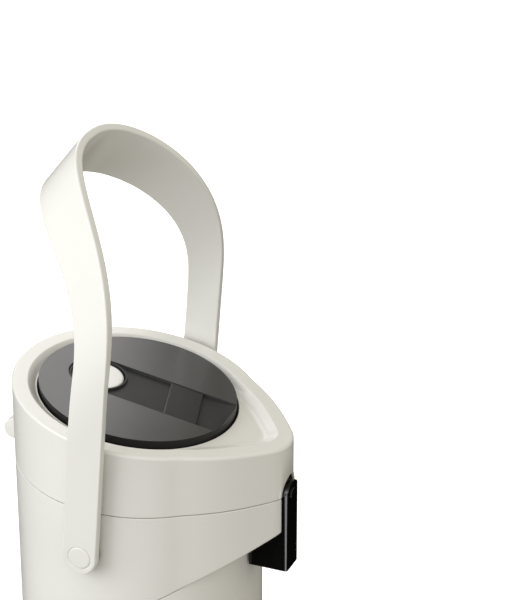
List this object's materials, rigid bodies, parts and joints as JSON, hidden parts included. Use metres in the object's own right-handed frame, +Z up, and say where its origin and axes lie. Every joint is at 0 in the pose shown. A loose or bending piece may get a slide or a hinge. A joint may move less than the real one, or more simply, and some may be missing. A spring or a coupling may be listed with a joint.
{
  "type": "thermal coffee airpot",
  "caption": "Push-top vacuum airpot with a teardrop lid, dark press plate with a sliding lock, black beak spout and swinging strap handle.",
  "frame": {"origin": "where the body's vertical axis meets the surface it stands on, at the middle of the foot pad's underside", "axes": "+Z up, -Y towards the spout, +Y towards the lid's hinge, +X towards the right arm seen from behind the pot's back, that is the right-hand side looking along +Y"},
  "size_m": [0.181, 0.1993, 0.519],
  "materials": {
    "ivory_plastic": "glossy ivory moulded plastic",
    "charcoal_plastic": "satin charcoal moulded plastic",
    "black_plastic": "high-gloss black moulded plastic",
    "white_plastic": "glossy white moulded plastic",
    "inner_plastic": "satin grey moulded plastic",
    "flask_steel": "brushed stainless sheet",
    "screw_steel": "bright steel wire and screws",
    "black_rubber": "matt black rubber",
    "silicone": "milky silicone"
  },
  "bodies": {
    "root": {"swivel_base": "inner_plastic", "foot_pad": "black_rubber", "swivel_washer": "screw_steel", "swivel_screw": "screw_steel"},
    "pot": {"base_cap": "inner_plastic", "body_shell": "ivory_plastic", "flask_cushion": "black_rubber", "vacuum_jacket": "flask_steel", "inner_flask": "flask_steel", "collar": "ivory_plastic", "neck_deck": "inner_plastic", "neck_clamp": "inner_plastic", "deck_screw_1": "screw_steel", "deck_screw_2": "screw_steel", "deck_screw_3": "screw_steel", "mouth_gasket": "silicone", "flask_stopper": "inner_plastic", "dip_tube": "inner_plastic", "spout_pipe": "inner_plastic", "spout_nozzle": "black_plastic", "spout_cover": "black_plastic", "pivot_pin_left": "screw_steel", "pivot_pin_right": "screw_steel", "pivot_spacer_left": "inner_plastic", "pivot_spacer_right": "inner_plastic", "hinge_pin": "screw_steel"},
    "handle_body": {"handle": "ivory_plastic", "pivot_cap_left": "ivory_plastic", "pivot_cap_right": "ivory_plastic"},
    "lid": {"lid_shell": "ivory_plastic", "lid_base": "inner_plastic", "lid_screw_1": "screw_steel", "lid_screw_2": "screw_steel", "lid_screw_3": "screw_steel", "bellows_cup": "inner_plastic", "air_seal": "silicone", "air_valve": "silicone", "bellows": "silicone", "bellows_spring": "screw_steel"},
    "plate": {"push_plate": "charcoal_plastic", "plate_carrier": "inner_plastic", "button_spring": "screw_steel"},
    "slider": {"lock_slider": "charcoal_plastic"},
    "button": {"vent_button": "white_plastic"},
    "latch": {"lid_latch": "black_plastic"}
  },
  "joints": [
    {"name": "base_swivel", "type": "hinge", "parent": "root", "child": "pot", "pos_m": [0, 0, 0.009], "axis": [0, 0, 1], "continuous": true},
    {"name": "handle_swing", "type": "hinge", "parent": "pot", "child": "handle_body", "pos_m": [0, 0, 0.272], "axis": [1, 0, 0], "range_deg": [-135, 30]},
    {"name": "lid_open", "type": "hinge", "parent": "pot", "child": "lid", "pos_m": [0, 0.085, 0.307], "axis": [-1, 0, 0], "range_deg": [0, 65]},
    {"name": "plate_press", "type": "slide", "parent": "lid", "child": "plate", "axis": [0, 0, -1], "range_m": [0, 0.016], "stiffness_N_per_m": 500, "springref_m": -0.02, "deforming": ["bellows", "bellows_spring"]},
    {"name": "lock_slide", "type": "slide", "parent": "plate", "child": "slider", "axis": [0, 0.9869, 0.1616], "range_m": [0, 0.008]},
    {"name": "button_press", "type": "slide", "parent": "plate", "child": "button", "axis": [0, 0, -1], "range_m": [0, 0.0022], "stiffness_N_per_m": 400, "springref_m": -0.004, "deforming": ["button_spring"]},
    {"name": "latch_press", "type": "slide", "parent": "pot", "child": "latch", "axis": [0, 1, 0], "range_m": [0, 0.0024], "stiffness_N_per_m": 300, "springref_m": -0.004}
  ]
}
